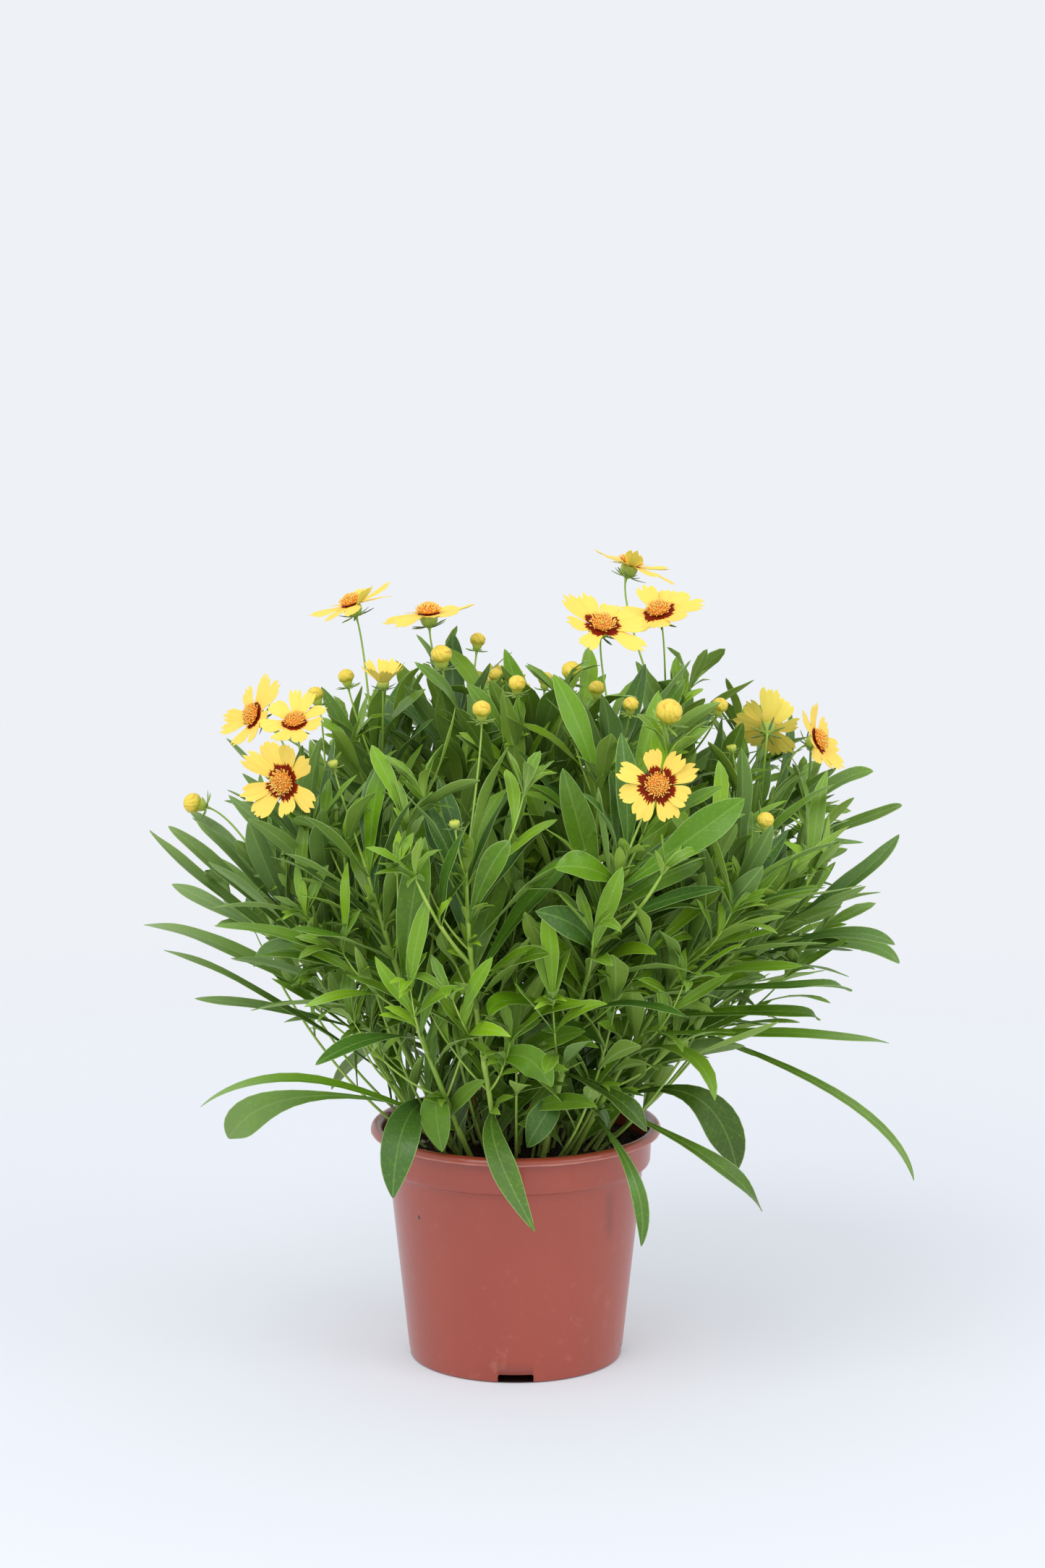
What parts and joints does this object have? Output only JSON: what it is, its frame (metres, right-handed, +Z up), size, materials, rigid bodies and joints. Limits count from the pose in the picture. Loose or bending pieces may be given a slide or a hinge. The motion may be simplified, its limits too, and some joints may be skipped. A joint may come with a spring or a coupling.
{
  "type": "potted coreopsis",
  "caption": "Potted coreopsis: bushy leafy stems with yellow toothed-ray flowers, orange discs and round buds, rooted in potting soil in a tapered plastic nursery pot with a turned-out lip.",
  "frame": {"origin": "on the pot's axis, level with the ring that the pot stands on", "axes": "+Z up along the pot's axis, -Y towards the side that is seen in front, +X to that viewer's right"},
  "size_m": [0.492, 0.3566, 0.5271],
  "materials": {
    "pot_plastic": "satin",
    "potting_soil": "matte",
    "foliage": "satin",
    "petal": "matte",
    "floret": "matte",
    "bud_petal": "matte"
  },
  "bodies": {
    "root": {"pot": "pot_plastic", "soil": "potting_soil", "leafy_stem_01": "foliage", "leafy_stem_02": "foliage", "leafy_stem_03": "foliage", "leafy_stem_04": "foliage", "leafy_stem_05": "foliage", "leafy_stem_06": "foliage", "leafy_stem_07": "foliage", "leafy_stem_08": "foliage", "leafy_stem_09": "foliage", "leafy_stem_10": "foliage", "leafy_stem_11": "foliage", "leafy_stem_12": "foliage", "leafy_stem_13": "foliage", "leafy_stem_14": "foliage", "leafy_stem_15": "foliage", "leafy_stem_16": "foliage", "rays_01": "petal", "disc_01": "floret", "rays_02": "petal", "disc_02": "floret", "rays_03": "petal", "disc_03": "floret", "rays_04": "petal", "disc_04": "floret", "rays_05": "petal", "disc_05": "floret", "rays_06": "petal", "disc_06": "floret", "rays_07": "petal", "disc_07": "floret", "rays_08": "petal", "disc_08": "floret", "rays_09": "petal", "disc_09": "floret", "rays_10": "petal", "disc_10": "floret", "rays_11": "petal", "disc_11": "floret", "rays_12": "petal", "disc_12": "floret", "rays_13": "petal", "disc_13": "floret", "bud_01": "bud_petal", "bud_02": "bud_petal", "bud_03": "bud_petal", "bud_04": "bud_petal", "bud_05": "bud_petal", "bud_06": "bud_petal", "bud_07": "bud_petal", "bud_08": "bud_petal", "bud_09": "bud_petal", "bud_10": "bud_petal", "bud_11": "bud_petal", "bud_12": "bud_petal", "bud_13": "bud_petal", "bud_14": "bud_petal", "bud_15": "bud_petal", "bud_16": "bud_petal"}
  },
  "joints": []
}
